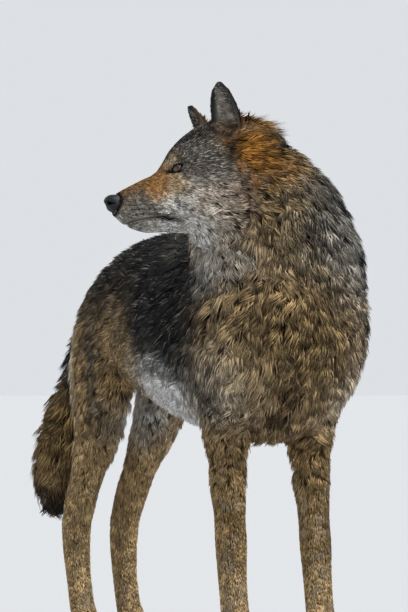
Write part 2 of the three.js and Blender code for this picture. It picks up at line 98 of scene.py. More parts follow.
# place, reach, way that the hair points, depth of coat, length, width and spacing of tufts
HEAD_LIE = [
    ((216, 5, -14), 22, (-1, 0.1, 0.15), 1.2, 6, 1.5, 1.7),
    ((178, 8, 6), 26, (-1, 0.15, 0.2), 1.6, 8, 1.6, 1.7),
    ((203, 28, -44), 24, (-1, 0.1, -0.15), 1.5, 7, 1.5, 1.7),
    ((190, 30, -66), 20, (-1, 0.1, -0.35), 1.8, 8, 1.6, 1.7),
    ((226, 8, -72), 16, (-0.9, 0.1, -0.5), 1.8, 8, 1.6, 1.8),
    ((182, 14, -88), 22, (-1, 0, -0.15), 3, 12, 1.9, 2.0),
    ((142, 36, 12), 17, (-0.9, 0.3, -0.1), 0.7, 6, 1.4, 1.6),
    ((152, 10, 36), 22, (-0.8, 0.2, 0.6), 2, 9, 1.7, 1.8),
    ((146, 42, -16), 22, (-1, 0.2, -0.35), 2.4, 11, 1.9, 1.9),
    ((122, 34, 50), 22, (-0.9, 0.3, 0.35), 2.8, 12, 2.0, 1.9),
    ((96, 12, 92), 30, (-1, 0.1, 0.3), 4.5, 17, 2.3, 2.2),
    ((94, 70, 34), 28, (-1, 0.25, 0), 5.5, 19, 2.4, 2.3),
    ((122, 58, -48), 28, (-1, 0.3, -0.3), 5.5, 21, 2.4, 2.3),
    ((80, 84, -36), 34, (-1, 0.4, -0.3), 10, 34, 3.2, 3.0),
    ((92, 60, -98), 34, (-0.8, 0.4, -0.6), 11, 36, 3.2, 3.0),
    ((145, 8, -95), 28, (-1, 0.1, -0.3), 6, 22, 2.5, 2.4),
    ((60, 10, -130), 40, (-0.8, 0.1, -0.7), 16, 48, 4.0, 3.6),
    ((52, 14, 112), 26, (-1, 0.1, 0.15), 7, 26, 2.6, 2.5),
    ((22, 62, 78), 30, (-1, 0.35, -0.1), 8, 44, 3.4, 3.1),
    ((-18, 10, 104), 34, (-1, 0, 0.1), 18, 52, 3.8, 3.4),
    ((24, 98, -4), 38, (-0.9, 0.3, -0.4), 18, 52, 4.0, 3.5),
]
BODY_LIE = [
    ((20, -140, 748), 90, (0.1, 1, -0.2), 26, 76, 5.0, 4.4),
    ((20, 60, 720), 95, (0.1, 1, -0.08), 21, 64, 4.6, 4.3),
    ((20, 230, 676), 70, (0.1, 0.9, -0.45), 19, 56, 4.4, 4.1),
    ((128, 0, 620), 90, (0, 1, -0.45), 20, 60, 4.6, 4.3),
    ((122, 20, 480), 90, (0, 0.8, -0.6), 19, 58, 4.6, 4.3),
    ((20, 20, 400), 80, (0, 0.7, -0.7), 20, 60, 4.6, 4.4),
    ((20, 180, 452), 60, (0, 0.6, -0.7), 14, 46, 4.2, 4.2),
    ((148, -130, 560), 80, (0, 0.85, -0.6), 24, 66, 4.8, 4.4),
    ((140, -290, 560), 80, (0.15, 0.35, -1), 22, 60, 4.6, 4.2),
    ((50, -400, 570), 80, (0.25, 0, -1), 28, 62, 4.8, 4.0),
    ((20, -340, 395), 55, (0, 0.2, -1), 24, 62, 4.8, 4.2),
    ((20, -200, 358), 60, (0, 0.5, -0.85), 20, 54, 4.6, 4.4),
    ((118, -270, 440), 50, (0.05, 0.2, -1), 15, 44, 4.0, 3.9),
    ((80, -245, 345), 42, (0, 0.1, -1), 9, 28, 3.2, 3.6),
    ((76, -252, 250), 45, (0, 0, -1), 5.5, 20, 2.8, 3.5),
    ((76, -262, 150), 45, (0, 0, -1), 4, 15, 2.5, 3.4),
    ((76, -305, 50), 40, (0, -0.7, -0.8), 3.5, 12, 2.3, 3.1),
    ((76, -350, 20), 30, (0, -1, -0.3), 2.6, 10, 2.1, 2.9),
    ((104, 200, 610), 60, (0.05, 0.6, -0.8), 18, 52, 4.4, 4.1),
    ((112, 230, 500), 60, (0.05, 0.25, -1), 15, 44, 4.1, 4.0),
    ((70, 312, 530), 50, (0.1, 0.5, -1), 15, 48, 4.2, 4.0),
    ((50, 160, 440), 45, (0, 0.3, -1), 12, 40, 4.0, 4.0),
    ((92, 250, 395), 45, (0, 0.3, -1), 11, 34, 3.6, 3.8),
    ((84, 300, 305), 45, (0, 0.3, -1), 8, 24, 3.0, 3.6),
    ((76, 350, 215), 45, (0, 0.05, -1), 5, 17, 2.6, 3.4),
    ((74, 350, 130), 45, (0, 0, -1), 4, 14, 2.5, 3.4),
    ((74, 290, 42), 40, (0, -0.8, -0.7), 3.5, 12, 2.3, 3.1),
    ((74, 250, 18), 30, (0, -1, -0.3), 2.6, 10, 2.1, 2.9),
]
# The neck leans to the right and the tail hangs to the right, so these aren't mirrored.
ONE_SIDE_LIE = [
    ((95, -280, 745), 70, (0.35, 0.1, -1), 27, 66, 4.6, 3.9),
    ((-135, -282, 700), 42, (-0.35, 0.1, -1), 27, 66, 4.6, 3.9),
    ((-20, -405, 700), 70, (0.1, -0.25, -1), 28, 66, 4.8, 4.0),
    ((-30, -140, 790), 60, (0.1, 0.8, -0.5), 28, 78, 4.6, 4.0),
    ((-52, -205, 872), 45, (0.2, 0.8, -0.25), 22, 60, 4.0, 3.5),
    ((30, -240, 830), 50, (0.7, 0.3, -0.7), 24, 60, 4.0, 3.5),
    ((4, 305, 620), 45, (0, 0.6, -0.8), 16, 54, 4.2, 3.9),
    ((-8, 355, 525), 45, (-0.1, 0.25, -1), 18, 60, 4.3, 3.9),
    ((-22, 375, 440), 45, (-0.1, 0.2, -1), 20, 66, 4.4, 3.9),
    ((-38, 402, 340), 45, (-0.1, 0.2, -1), 23, 72, 4.6, 4.0),
    ((-45, 424, 255), 40, (-0.05, 0.1, -1), 18, 60, 4.4, 3.9),
]


def on_animal(head, body, one_side):
    """Rows of three tables with their axes first, those of the first two on both sides.

    What has three values is turned over, as a place and a direction have to be. The reach of a
    mark is used squared, so its sign makes no difference.
    """
    made = []
    for where, rows, flip in ((HEAD, head, (1, -1, 1)), (BODY, body, (-1, 1, 1))):
        for row in rows:
            other = [np.multiply(v, flip) if isinstance(v, tuple) else v for v in row]
            made += [(where, *row), (where, *other)]
    return made + [(BODY, *row) for row in one_side]


LIE = [
    (placed(where, place), reach * MM, np.array([*(np.asarray(way) @ AXES[where][1]), *sizes]))
    for where, place, reach, way, *sizes in on_animal(HEAD_LIE, BODY_LIE, ONE_SIDE_LIE)
]

# The ear is carried upright, with short hair that points to its tip.
EAR_BASE = np.array([43, 52, 66])
EAR_TIP = np.array([72, 84, 148])
EAR_FACING = np.array([0.8, 0.6, 0])
EAR_WIDTH = 56
EAR_COAT = [-1.2, 7, 1.6, 2.0]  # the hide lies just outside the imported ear, which is thin
SIDES = {"left": 1, "right": -1}


def smoothstep(low, high, values):
    share = np.clip((values - low) / (high - low), 0, 1)
    return share * share * (3 - 2 * share)


def ear_place(points, side):
    """How far up the ear, across it and towards its open front some points are, in mm."""
    flip = np.array([1, side, 1])
    rise = (EAR_TIP - EAR_BASE) * flip
    up = unit(rise)
    facing = EAR_FACING * flip
    facing = unit(facing - up * (facing @ up))
    across = np.cross(facing, up)
    from_base = local(HEAD, points) - EAR_BASE * flip
    return from_base @ up / np.linalg.norm(rise), from_base @ across, from_base @ facing


def ear_share(points, side):
    """1 on the free part of the ear, 0 on the head."""
    height, across, front = ear_place(points, side)
    beside = 1 - smoothstep(EAR_WIDTH * 0.6, EAR_WIDTH * 0.8, np.hypot(across, front))
    return smoothstep(-0.05, 0.25, height) * beside


def coat_at(points):
    """The hair's direction, and its depth, length, width and spacing in metres."""
    total = np.zeros(len(points))
    found = np.zeros((len(points), 7))
    for place, reach, row in LIE:
        apart = np.sum((points - place) ** 2, axis=1) / reach**2
        near = np.exp(-apart) + 1e-4 / (apart + 0.1)
        total += near
        found += near[:, None] * row
    found /= total[:, None]
    found[:, :3] = unit(found[:, :3])
    for side in SIDES.values():
        share = ear_share(points, side)[:, None]
        rise = unit((EAR_TIP - EAR_BASE) * [1, side, 1]) @ AXES[HEAD][1]
        found = found * (1 - share) + np.array([*rise, *EAR_COAT]) * share
    found[:, 3:] *= MM
    return unit(found[:, :3]), *found[:, 3:].T


# ---- Skin ----
# One hide over the whole animal. It is tanned skin under short wool, and lies inside the tips
# of the coat by the coat's depth, with lids round the eyes and a fold where the lips meet.

VOXEL = 2.0 * MM
COARSE = 3  # fine places to each coarse one, where the coat is deep
OVERLAP = 0.25 * MM  # pushes the lengths of the body into each other, so that they join
CUT_FILL = 2.5 * MM  # grown by this and shrunk again, the body has no cut left in it
SHALLOW = 12.5 * MM
DEEPEST = 42 * MM
KEEP_FACES = 150000
LIP_REAR = np.array([146, -65])  # forward and up, where the lips meet at the back
LIP_FALL = math.tan(math.radians(7))
LIP_END = 248
LIP_HALF_SPAN = 60  # leaves out what lies beyond the head's own sides
FOLD_WIDTH = 1.8
FOLD_DEPTH = 2.2 * MM
PAD_SEAT = 4 * MM  # how far the hide goes back under the pad of the nose
SOLE_LIFT = 0.4 * MM
SMOOTHING = 30  # rounds


def grown(name, node, reach):
    """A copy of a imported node, pushed out all round until it meets its neighbours."""
    piece = bmesh.new()
    piece.from_mesh(node.data)
    bmesh.ops.remove_doubles(piece, verts=piece.verts, dist=1e-6)
    piece.normal_update()
    for vertex in piece.verts:
        vertex.co += vertex.normal * reach
    mesh = bpy.data.meshes.new(name)
    piece.to_mesh(mesh)
    piece.free()
    return mesh


def add_object(name, mesh):
    made = bpy.data.objects.new(name, mesh)
    bpy.context.scene.collection.objects.link(made)
    return made


def with_modifier(obj, kind, **settings):
    """Gives an object the mesh that a modifier makes of it."""
    modifier = obj.modifiers.new(kind.lower(), kind)
    for key, value in settings.items():
        setattr(modifier, key, value)
    depsgraph = bpy.context.evaluated_depsgraph_get()
    made = bpy.data.meshes.new_from_object(obj.evaluated_get(depsgraph))
    obj.modifiers.clear()
    obj.data = made


def numbers(items, key, width, kind=np.float32):
    """One property of all of a mesh's vertices, edges or triangles, as an array."""
    found = np.empty(len(items) * width, kind)
    items.foreach_get(key, found)
    return found.reshape(-1, width)


def summed(index, values, count):
    return np.stack([np.bincount(index, part, count) for part in values.T], axis=1)


class Surface:
    """A mesh as arrays of points, edges and triangles."""

    def __init__(self, mesh):
        mesh.calc_loop_triangles()
        self.points = numbers(mesh.vertices, "co", 3).astype(float)
        edges = numbers(mesh.edges, "vertices", 2, np.int32)
        self.ends = np.concatenate([edges, edges[:, ::-1]])
        self.triangles = numbers(mesh.loop_triangles, "vertices", 3, np.int32)
        self.degree = np.bincount(self.ends[:, 0], minlength=len(self.points))[:, None]

    def normals(self):
        a, b, c = (self.points[self.triangles[:, i]] for i in range(3))
        face = np.cross(b - a, c - a)
        return unit(sum(summed(self.triangles[:, i], face, len(self.points)) for i in range(3)))

    def mean(self, values):
        """Each point's neighbours' mean of some values."""
        return summed(self.ends[:, 0], values[self.ends[:, 1]], len(self.points)) / self.degree

    def relax(self, amount, rounds):
        """Smooths the surface. Each round gives back what it takes, so that no leg gets thinner."""
        for _ in range(rounds):
            for part in (amount, -1.04 * amount):
                self.points += part * (self.mean(self.points) - self.points)


def lip_gap(where):
    """How far above the line of the lips some points of the head are, in mm."""
    return where[:, 2] - LIP_REAR[1] + LIP_FALL * (where[:, 0] - LIP_REAR[0])


def lip_share(where, width):
    """1 on the line where the lips meet, falling away over a width in mm."""
    along = smoothstep(LIP_REAR[0] - 4, LIP_REAR[0] + 4, where[:, 0])
    along = along * (np.abs(where[:, 1]) < LIP_HALF_SPAN)
    return along * np.exp(-((lip_gap(where) / width) ** 2))


NOSE_AT = np.array([240.5, 0, -40.5])
NOSE_HALF = np.array([16, 17, 15])


def pad_ratio(where):
    """Below 1 inside the bare pad of the nose."""
    return np.sum(((where - NOSE_AT) / NOSE_HALF) ** 2, axis=1)


# The opening of the lids: its long axis runs from the tear duct up to the outer corner.
LID_FACING = np.array([0.34, 0.93, 0.1])
LID_ALONG = np.array([-0.86, 0.28, 0.42])
LID_HALF_LENGTH = 13.5
LID_HALF_HEIGHT = 4.7
LID_THICK = 1.3
LID_REACH = 26  # how far from the opening's middle the hide is shaped
LID_HOLLOW = 2.5  # how far the hide goes in behind the ball's surface
EYE_RADIUS = (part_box("eye_left")[1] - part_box("eye_left")[0]).z / 2 / MM


def lid_place(where, side):
    """Along the lids' opening, up from its axis and out from the eyeball's centre, in mm.

    A point that lies inside the lids is taken where it comes to on them, straight out from the eye.
    """
    flip = np.array([1, side, 1])
    out = unit(LID_FACING * flip)
    along = LID_ALONG * flip
    along = unit(along - out * (along @ out))
    up = np.cross(out, along) * side
    from_eye = where - EYE_AT * flip
    radius = np.linalg.norm(from_eye, axis=1, keepdims=True)
    from_eye *= np.maximum((EYE_RADIUS + LID_THICK) / radius, 1)
    return from_eye @ along, from_eye @ up, from_eye @ out


def opening(along, up):
    """Below 1 inside the lids' opening, which is an almond with a low, sharp inner corner."""
    share = np.clip(along / LID_HALF_LENGTH, -1, 1)
    height = LID_HALF_HEIGHT * (1 - share**2) ** 0.75 * (1 - 0.25 * share)
    inside = np.abs(up - 1.2 * share) / np.maximum(height, 0.3)
    return inside + 6 * np.maximum(np.abs(along) / LID_HALF_LENGTH - 1, 0)


def set_lids(points):
    """Draws the skin in behind the eyeball inside each opening, and over it at the rims."""
    where = local(HEAD, points)
    for side in SIDES.values():
        flip = np.array([1, side, 1])
        along, up, out = lid_place(where, side)
        near = (out > -6) & (np.hypot(along, up) < LID_REACH)
        from_eye = where[near] - EYE_AT * flip
        radius = np.linalg.norm(from_eye, axis=1)
        inside = opening(along[near], up[near])
        rim = EYE_RADIUS + LID_THICK
        cover = rim + (np.maximum(radius, rim) - rim) * smoothstep(1.2, 3.0, inside)
        behind = EYE_RADIUS - LID_HOLLOW
        wanted = behind + (cover - behind) * smoothstep(0.8, 1.02, inside)
        where[near] = EYE_AT * flip + from_eye / radius[:, None] * wanted[:, None]
    return placed(HEAD, where)


def make_mesh(name, points, faces):
    """A mesh from an array of points and an array of faces that all have as many corners."""
    mesh = bpy.data.meshes.new(name)
    count, corners = faces.shape
    mesh.vertices.add(len(points))
    mesh.vertices.foreach_set("co", points.astype(np.float32).ravel())
    mesh.loops.add(count * corners)
    mesh.loops.foreach_set("vertex_index", faces.astype(np.int32).ravel())
    mesh.polygons.add(count)
    mesh.polygons.foreach_set("loop_start", np.arange(0, count * corners, corners, dtype=np.int32))
    mesh.update(calc_edges=True)
    return mesh


def whole_flesh():
    """All of the body's nodes but the claws, joined into one solid with no cut left in it."""
    names = [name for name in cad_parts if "claw" not in name]
    lengths = [add_object(f"flesh_{n}", grown(n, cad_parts[n], OVERLAP)) for n in names]
    whole = lengths.pop(names.index("trunk"))
    for piece in lengths:
        joint = whole.modifiers.new("join", "BOOLEAN")
        joint.operation = "UNION"
        joint.solver = "MANIFOLD"
        joint.object = piece
    depsgraph = bpy.context.evaluated_depsgraph_get()
    whole.data = bpy.data.meshes.new_from_object(whole.evaluated_get(depsgraph))
    whole.modifiers.clear()
    for piece in lengths:
        bpy.data.objects.remove(piece)
    return whole


def distances(voxel, reach, points, **faces):
    """How far the places of a regular grid are from a closed surface, below 0 inside it."""
    return openvdb.FloatGrid.createLevelSetFromPolygons(
        points.astype(np.float32),
        transform=openvdb.createLinearTransform(voxelSize=voxel),
        halfWidth=reach / voxel,
        **faces,
    )


def as_array(grid, low, count):
    field = np.empty(count, np.float32)
    grid.copyToArray(field, ijk=tuple(int(i) for i in low))
    return field


def finer(values, step):
    """Values at places some steps apart, turned into values at each step between them."""
    for axis in range(3):
        at = np.arange((values.shape[axis] - 1) * step) / step
        low = at.astype(int)
        share = (at - low).astype(np.float32).reshape([-1 if i == axis else 1 for i in range(3)])
        values = values.take(low, axis) * (1 - share) + values.take(low + 1, axis) * share
    return values


def blurred(field, rounds):
    for _ in range(rounds):
        for axis in range(3):
            field = (np.roll(field, 1, axis) + 2 * field + np.roll(field, -1, axis)) / 4
    return field


def drawn_in(points, triangles):
    """The surface that lies inside another by the coat's depth at each place."""
    near = distances(VOXEL, 2 * CUT_FILL, points, triangles=triangles)
    filled, quads = near.convertToQuads(isovalue=CUT_FILL)
    shallow = distances(VOXEL, SHALLOW, filled, quads=quads)
    low, high = (np.array(corner) for corner in shallow.evalActiveVoxelBoundingBox())
    low = low // (2 * COARSE) - 1
    count = high // (2 * COARSE) + 3 - low
    places = np.indices(count).reshape(3, -1).T + low
    depth = coat_at(places * 2 * COARSE * VOXEL)[1].astype(np.float32).reshape(count)
    depth = finer(depth, 2)
    deep = distances(COARSE * VOXEL, DEEPEST, filled, quads=quads)
    deep = blurred(as_array(deep, low * 2, depth.shape), 4)
    depth = finer(depth, COARSE)
    deep = finer(deep, COARSE)
    low = low * 2 * COARSE
    field = as_array(shallow, low, depth.shape)
    share = smoothstep(np.float32(3 * MM), np.float32(8 * MM), depth)
    field += (deep - field) * share + depth + np.float32(CUT_FILL)
    band = np.float32(3 * VOXEL)
    grid = openvdb.FloatGrid(float(band))
    grid.transform = openvdb.createLinearTransform(voxelSize=VOXEL)
    grid.copyFromArray(np.clip(field, -band, band), ijk=tuple(int(i) for i in low))
    return grid.convertToQuads(isovalue=0)


def largest_part(points, faces):
    """Leaves out any crumb that isn't joined to the rest."""
    part = np.arange(len(points))
    while True:
        lowest = part.copy()
        for first, second in zip(faces.T, np.roll(faces, 1, axis=1).T):
            np.minimum.at(lowest, first, part[second])
            np.minimum.at(lowest, second, part[first])
        lowest = lowest[lowest]
        if np.array_equal(lowest, part):
            break
        part = lowest
    kept = part == np.bincount(part).argmax()
    number = np.cumsum(kept) - 1
    return points[kept], number[faces[kept[faces[:, 0]]]]


def ears_share(points):
    return sum(ear_share(points, side) for side in SIDES.values())


def face_share(points):
    """1 on the face and the front of the skull, 0 behind the ears."""
    where = local(HEAD, points)
    inside = (np.abs(where[:, 1]) < 90) & (where[:, 2] > -135)
    return smoothstep(50, 110, where[:, 0]) * inside


def thin_out(obj, faces):
    """Leaves larger faces on the body, where the coat is deep, than on the face and ears."""
    points = numbers(obj.data.vertices, "co", 3).astype(float)
    share = np.clip(face_share(points) + ears_share(points), 0, 1)
    levels = np.round((1 - 0.97 * share) * 10).astype(int)
    group = obj.vertex_groups.new(name="body")
    for level in np.unique(levels):
        group.add(np.flatnonzero(levels == level).tolist(), level / 10, "REPLACE")
    ratio = faces / (2 * len(obj.data.polygons))
    with_modifier(
        obj, "DECIMATE", ratio=ratio, vertex_group="body", use_collapse_triangulate=True
    )
    obj.vertex_groups.clear()


def refine_round_eyes(mesh):
    """Cuts the faces round each eye into nine, so that they can hold the lids."""
    fine = bmesh.new()
    fine.from_mesh(mesh)
    eyes = [Vector(placed(HEAD, EYE_AT * [1, side, 1])) for side in SIDES.values()]
    reach = LID_REACH * MM
    close = [e for e in fine.edges if min((e.verts[0].co - eye).length for eye in eyes) < reach]
    bmesh.ops.subdivide_edges(fine, edges=close, cuts=2, use_grid_fill=True)
    bmesh.ops.triangulate(fine, faces=fine.faces)
    fine.to_mesh(mesh)
    fine.free()


flesh = whole_flesh()
flesh_surface = Surface(flesh.data)
skin_surface = drawn_in(flesh_surface.points, flesh_surface.triangles)
skin = add_object("skin", make_mesh("skin", *skin_surface))
bpy.data.objects.remove(flesh)
thin_out(skin, KEEP_FACES)
thinned = Surface(skin.data)
skin.data = make_mesh("skin", *largest_part(thinned.points, thinned.triangles))
refine_round_eyes(skin.data)
hide = Surface(skin.data)
hide.relax(0.5, SMOOTHING)
in_head = local(HEAD, hide.points)
fold = lip_share(in_head, FOLD_WIDTH) * (in_head[:, 0] < LIP_END)
hide.points -= hide.normals() * (fold * FOLD_DEPTH)[:, None]
hide.points = set_lids(hide.points)
behind_pad = 1 - smoothstep(0.7, 1.05, pad_ratio(local(HEAD, hide.points)))
hide.points -= AXES[HEAD][1][0] * (PAD_SEAT * behind_pad)[:, None]
hide.points[:, 2] = np.maximum(hide.points[:, 2], SOLE_LIFT)
skin.data.vertices.foreach_set("co", hide.points.astype(np.float32).ravel())
skin.data.update()
skin.data.shade_smooth()
bare_parts = ("claw", "eye", "nose")
fleshy = [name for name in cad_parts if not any(part in name for part in bare_parts)]
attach(skin, "root")
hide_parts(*fleshy)

# ---- Markings ----
# A grey wolf is black and grey over the back, gold behind the ears, buff on the legs and white
# under the throat and belly. The same colours are in the hide's short wool and in the long coat.

FUR = {
    "black": "0b0c0f",
    "coal": "181a1e",
    "charcoal": "3c3c3c",
    "smoke": "67635b",
    "grey": "8d867b",
    "silver": "aeaba4",
    "white": "d8d5d0",
    # The belly's white, brighter than the hair's own white, is partly painted light.
    "snow": "ebe8e3",
    "cream": "cabda8",
    "fawn": "b19d8b",
    "umber": "715f51",
    "soot": "45403a",
    "buff": "a88f68",
    "sand": "8f7c5b",
    "ochre": "8c744e",
    "gold": "8c6738",
    "rufous": "6b4e2d",
    "amber": "8a5c20",
    "dun": "716c64",
    "brown": "3f2f20",
    "lid": "0b0a09",
}


def colour(text):
    """An sRGB hex colour as linear red, green and blue."""
    parts = np.array([int(text[i : i + 2], 16) for i in (0, 2, 4)]) / 255
    return np.where(parts <= 0.04045, parts / 12.92, ((parts + 0.055) / 1.055) ** 2.4)


# place, reach, colour of the hair, colour of its tips, share of the tufts that have them
HEAD_PATCHES = [
    ((220, 5, -12), 24, "rufous", "brown", 0.4),
    ((184, 8, 6), 26, "rufous", "brown", 0.4),
    ((178, 28, -20), 20, "gold", "brown", 0.2),
    ((210, 27, -44), 20, "dun", "charcoal", 0.4),
    ((194, 26, -61), 14, "grey", "charcoal", 0.5),
    ((226, 8, -78), 18, "grey", "smoke", 0.4),
    ((184, 14, -90), 24, "silver", "smoke", 0.3),
    ((152, 34, -52), 20, "silver", "coal", 0.12),
    ((146, 40, -18), 14, "sand", "brown", 0.3),
    ((120, 52, 2), 16, "smoke", "brown", 0.5),
    ((152, 26, 28), 13, "sand", "brown", 0.3),
    ((122, 14, 58), 26, "charcoal", "black", 0.9),
    ((111, 42, 38), 24, "dun", "black", 0.9),
    ((98, 58, 14), 24, "smoke", "black", 0.9),
    ((76, 14, 98), 26, "smoke", "black", 0.7),
    ((118, 60, -56), 22, "cream", "smoke", 0.4),
    ((92, 56, -88), 30, "cream", "brown", 0.4),
    ((102, 58, -46), 22, "fawn", "brown", 0.4),
    ((60, 63, -52), 30, "umber", "black", 0.8),
    ((46, 62, -78), 26, "umber", "black", 0.6),
    ((2, 66, -62), 34, "ochre", "black", 0.6),
    ((120, 20, -110), 36, "white", "silver", 0.1),
    ((46, 30, -120), 34, "white", "smoke", 0.3),
    ((30, 60, 72), 30, "amber", "brown", 0.4),
    ((18, 70, 28), 34, "amber", "black", 0.65),
    ((-18, 56, 60), 36, "ochre", "black", 0.75),
    ((-24, 10, 106), 34, "ochre", "black", 0.7),
]
BODY_PATCHES = [
    ((20, -140, 760), 90, "smoke", "black", 0.9),
    ((20, 40, 740), 110, "black", "black", 0.8),
    ((20, 230, 690), 90, "black", "black", 0.8),
    ((130, -70, 630), 90, "coal", "black", 0.9),
    ((130, 60, 630), 70, "coal", "black", 0.8),
    ((100, 60, 545), 60, "buff", "brown", 0.5),
    ((126, 0, 480), 60, "sand", "black", 0.6),
    ((10, 20, 380), 55, "white", "silver", 0.1),
    ((60, 180, 440), 60, "ochre", "brown", 0.4),
    ((140, -160, 610), 55, "coal", "black", 0.9),
    ((105, -350, 570), 70, "buff", "black", 0.6),
    ((30, -410, 590), 80, "ochre", "black", 0.6),
    ((30, -360, 430), 60, "buff", "black", 0.5),
    ((120, -310, 460), 60, "cream", "brown", 0.4),
    ((80, -260, 370), 55, "ochre", "brown", 0.4),
    ((76, -255, 240), 60, "ochre", "cream", 0.3),
    ((76, -320, 60), 70, "buff", "cream", 0.3),
    ((110, 200, 665), 55, "black", "black", 0.8),
    ((116, 190, 560), 60, "buff", "coal", 0.5),
    ((110, 270, 480), 55, "buff", "coal", 0.4),
    ((92, 220, 390), 55, "buff", "brown", 0.4),
    ((84, 310, 290), 60, "buff", "brown", 0.3),
    ((74, 350, 180), 60, "buff", "sand", 0.3),
    ((74, 280, 50), 70, "buff", "cream", 0.3),
]
ONE_SIDE_PATCHES = [
    ((90, -290, 740), 75, "grey", "coal", 0.6),
    ((55, -358, 706), 46, "silver", "charcoal", 0.5),
    ((75, -352, 634), 50, "silver", "black", 0.6),
    ((110, -330, 545), 50, "grey", "coal", 0.5),
    ((-80, -334, 480), 45, "buff", "brown", 0.4),
    ((-132, -205, 590), 60, "coal", "black", 0.9),
    ((-128, -190, 650), 50, "coal", "black", 0.9),
    ((-150, -284, 738), 44, "white", "smoke", 0.25),
    ((-132, -312, 690), 40, "buff", "brown", 0.5),
    ((-160, -256, 648), 38, "coal", "black", 0.9),
    ((-90, -370, 690), 65, "buff", "black", 0.5),
    ((-20, -400, 720), 65, "smoke", "black", 0.6),
    ((-30, -140, 800), 60, "smoke", "black", 0.8),
    ((-52, -205, 880), 50, "ochre", "black", 0.6),
    ((30, -240, 840), 50, "sand", "black", 0.5),
    ((-8, 355, 540), 60, "charcoal", "black", 0.8),
    ((-30, 390, 400), 60, "ochre", "black", 0.6),
    ((-45, 424, 255), 45, "coal", "black", 0.9),
]
# place, reach along each axis, colour, strength: smaller marks, laid over the patches
HEAD_MARKS = [
    ((152, 28, 7), (9, 14, 3.4), "lid", 1.2),
    ((165, 26, -69), (17, 30, 3.4), "black", 1.1),
    ((66, 62, 46), (8, 30, 22), "black", 1.2),
    ((74, 58, 58), (9, 26, 14), "rufous", 0.8),
    ((150, 26, 22), (9, 16, 6), "fawn", 0.7),
    ((118, 0, 68), (30, 9, 18), "black", 0.9),
    ((82, 0, 98), (30, 10, 14), "black", 0.8),
    ((151, 36, -43), (2.2, 16, 7), "coal", 0.9),
    ((141, 38, -47), (2.2, 16, 8), "coal", 0.9),
    ((132, 40, -54), (2.4, 16, 7), "coal", 0.9),
    ((248, 8, -60), (14, 14, 8), "white", 0.4),
]
BODY_MARKS = [
    ((121, -250, 420), (11, 50, 130), "soot", 1.2),
    ((96, -292, 220), (20, 30, 100), "soot", 0.6),
    ((80, 184, 500), (40, 14, 120), "charcoal", 1.0),
    ((78, 276, 480), (40, 20, 80), "cream", 1.2),
    ((150, -330, 520), (24, 26, 90), "cream", 0.5),
    ((113, -46, 561), (40, 13, 56), "black", 1.3),
    # Painted light: the belly is white, and this is laid on brighter than the hair's own white, for
    # light thrown up from below.
    ((100, -84, 452), (50, 80, 46), "snow", 1.8),
    ((60, 90, 400), (40, 60, 40), "white", 0.8),
]
# Painted shade: the cleft of the chest, which lies off the middle, is darkened to the brown of shaded
# hair, with a black line above it. The black of the nape runs down the left.
ONE_SIDE_MARKS = [
    ((-22, -339, 450), (19, 60, 52), "brown", 1.2),
    ((-24, -345, 530), (8, 60, 40), "black", 0.8),
    ((-36, -322, 862), (28, 40, 24), "black", 1),
    ((16, -310, 816), (28, 45, 28), "black", 1.2),
    ((54, -325, 768), (26, 45, 32), "black", 1.3),
    ((86, -330, 706), (24, 45, 40), "black", 1.3),
    ((116, -315, 620), (20, 45, 70), "black", 1.3),
    ((132, -280, 480), (16, 32, 70), "soot", 1.0),
]


def blend_of(rows, points):
    """Each point's mix of some rows of numbers, by how near it is to each row's place."""
    total = np.zeros((len(points), 1))
    found = 0
    for place, reach, row in rows:
        apart = np.sum((points - place) ** 2, axis=1, keepdims=True) / reach**2
        near = np.exp(-apart) + 1e-4 / (apart + 0.1)
        total += near
        found = found + near * row
    return found / total


PATCHES = [
    (placed(where, place), reach * MM, np.array([*colour(FUR[hair]), *colour(FUR[tip]), share]))
    for where, place, reach, hair, tip, share in on_animal(
        HEAD_PATCHES, BODY_PATCHES, ONE_SIDE_PATCHES
    )
]
MARKS = on_animal(HEAD_MARKS, BODY_MARKS, ONE_SIDE_MARKS)
WHISKERS = np.array([226, 0, -48])  # the first dark spot that whiskers grow from
WHISKER_APART = np.array([-9, 0, -7.5])
WHISKER_ROWS = 3
WHISKERS_IN_ROW = 6
WHISKER_SPOT = [4, 1.8]


def ear_opened(facing, side):
    """1 where the hide faces the same way as the ear's open front, -1 on the ear's back."""
    return facing @ (unit(EAR_FACING * [1, side, 1]) @ AXES[HEAD][1])


